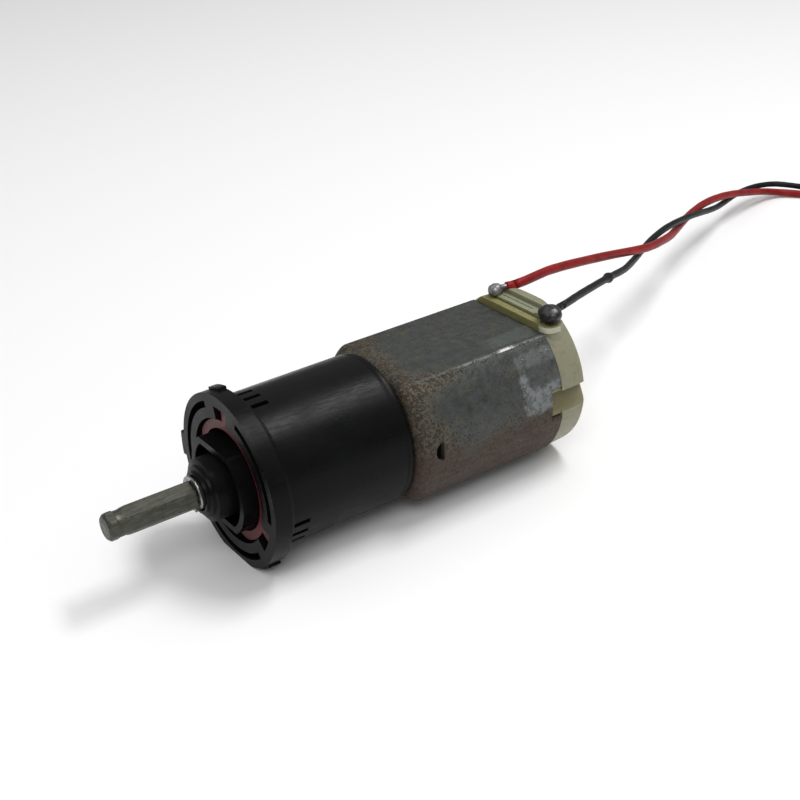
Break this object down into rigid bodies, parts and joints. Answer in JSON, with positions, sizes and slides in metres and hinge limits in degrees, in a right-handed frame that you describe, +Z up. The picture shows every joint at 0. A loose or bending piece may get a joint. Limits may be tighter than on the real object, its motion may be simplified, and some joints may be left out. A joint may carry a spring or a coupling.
{
  "type": "electric motor",
  "caption": "Small brushed DC gear motor: flat-sided steel can, black planetary gearbox with front flange, hexagonal output shaft and soldered leads.",
  "frame": {"origin": "middle of the footprint without the leads, level with the resting flat of the front flange", "axes": "+X runs along the motor axis from the output shaft towards the end cap and leads; +Z points up, through the flat side of the can on the terminal side; +Y completes the right-handed frame"},
  "size_m": [0.2306, 0.0662, 0.0276],
  "materials": {
    "black_plastic": "moulded black plastic, satin",
    "red_plastic": "moulded red plastic, satin",
    "nylon": "natural nylon, aged yellow",
    "acetal": "white acetal",
    "zinc_steel": "zinc-plated sheet steel with rust specks",
    "machined_steel": "turned and milled steel",
    "bright_steel": "bright steel",
    "laminated_steel": "sintered or laminated steel",
    "bronze": "bronze",
    "copper": "copper",
    "enamelled_wire": "enamelled copper windings",
    "ferrite": "ferrite magnet",
    "carbon": "carbon brush",
    "tin_solder": "tin solder",
    "red_insulation": "red wire insulation",
    "black_insulation": "black wire insulation"
  },
  "bodies": {
    "casing": {"gear_housing": "black_plastic", "front_cover": "black_plastic", "retaining_ring": "red_plastic", "front_bush": "bronze", "ring_gear": "laminated_steel", "motor_plate": "zinc_steel", "motor_screw_1": "bright_steel", "motor_screw_2": "bright_steel", "motor_can": "zinc_steel", "magnet_1": "ferrite", "magnet_2": "ferrite", "can_bush": "bronze", "cap_bush": "bronze", "end_cap": "nylon", "brush_1": "carbon", "brush_2": "carbon", "brush_arm_1": "bronze", "brush_arm_2": "bronze", "terminal_1": "bronze", "terminal_2": "bronze", "solder_1": "tin_solder", "solder_2": "tin_solder", "thrust_washer": "bright_steel", "red_lead": "red_insulation", "black_lead": "black_insulation", "red_lead_tip": "tin_solder", "black_lead_tip": "tin_solder"},
    "armature": {"motor_shaft": "bright_steel", "motor_pinion": "bronze", "armature_core": "laminated_steel", "coil_1": "enamelled_wire", "coil_2": "enamelled_wire", "coil_3": "enamelled_wire", "coil_4": "enamelled_wire", "coil_5": "enamelled_wire", "commutator": "copper", "armature_washer": "acetal"},
    "first_stage": {"first_carrier": "machined_steel", "second_sun": "machined_steel", "first_pin_1": "bright_steel", "first_pin_2": "bright_steel", "first_pin_3": "bright_steel"},
    "first_planet_a": {"first_planet_1": "acetal"},
    "first_planet_b": {"first_planet_2": "acetal"},
    "first_planet_c": {"first_planet_3": "acetal"},
    "output": {"output_shaft": "machined_steel", "shaft_clip": "bright_steel", "output_carrier": "machined_steel", "output_pin_1": "bright_steel", "output_pin_2": "bright_steel", "output_pin_3": "bright_steel"},
    "output_planet_a": {"output_planet_1": "acetal"},
    "output_planet_b": {"output_planet_2": "acetal"},
    "output_planet_c": {"output_planet_3": "acetal"}
  },
  "joints": [
    {"name": "armature_spin", "type": "hinge", "parent": "casing", "child": "armature", "pos_m": [0.02, 0, 0.0132], "axis": [1, 0, 0], "continuous": true},
    {"name": "first_stage_spin", "type": "hinge", "parent": "casing", "child": "first_stage", "pos_m": [-0.003, 0, 0.0132], "axis": [1, 0, 0], "continuous": true},
    {"name": "output_spin", "type": "hinge", "parent": "casing", "child": "output", "pos_m": [-0.02, 0, 0.0132], "axis": [1, 0, 0], "continuous": true},
    {"name": "first_planet_a_spin", "type": "hinge", "parent": "first_stage", "child": "first_planet_a", "pos_m": [0, -0.0054, 0.0132], "axis": [1, 0, 0], "continuous": true},
    {"name": "first_planet_b_spin", "type": "hinge", "parent": "first_stage", "child": "first_planet_b", "pos_m": [0, 0.0027, 0.01788], "axis": [1, 0, 0], "continuous": true},
    {"name": "first_planet_c_spin", "type": "hinge", "parent": "first_stage", "child": "first_planet_c", "pos_m": [0, 0.0027, 0.00852], "axis": [1, 0, 0], "continuous": true},
    {"name": "output_planet_a_spin", "type": "hinge", "parent": "output", "child": "output_planet_a", "pos_m": [-0.007, -0.0054, 0.0132], "axis": [1, 0, 0], "continuous": true},
    {"name": "output_planet_b_spin", "type": "hinge", "parent": "output", "child": "output_planet_b", "pos_m": [-0.007, 0.0027, 0.01788], "axis": [1, 0, 0], "continuous": true},
    {"name": "output_planet_c_spin", "type": "hinge", "parent": "output", "child": "output_planet_c", "pos_m": [-0.007, 0.0027, 0.00852], "axis": [1, 0, 0], "continuous": true}
  ],
  "couplings": [
    {"joint": "first_stage_spin", "follows": "armature_spin", "ratio": 0.16667},
    {"joint": "output_spin", "follows": "armature_spin", "ratio": 0.027778},
    {"joint": "first_planet_a_spin", "follows": "armature_spin", "ratio": -0.41667},
    {"joint": "first_planet_b_spin", "follows": "armature_spin", "ratio": -0.41667},
    {"joint": "first_planet_c_spin", "follows": "armature_spin", "ratio": -0.41667},
    {"joint": "output_planet_a_spin", "follows": "armature_spin", "ratio": -0.069444},
    {"joint": "output_planet_b_spin", "follows": "armature_spin", "ratio": -0.069444},
    {"joint": "output_planet_c_spin", "follows": "armature_spin", "ratio": -0.069444}
  ]
}
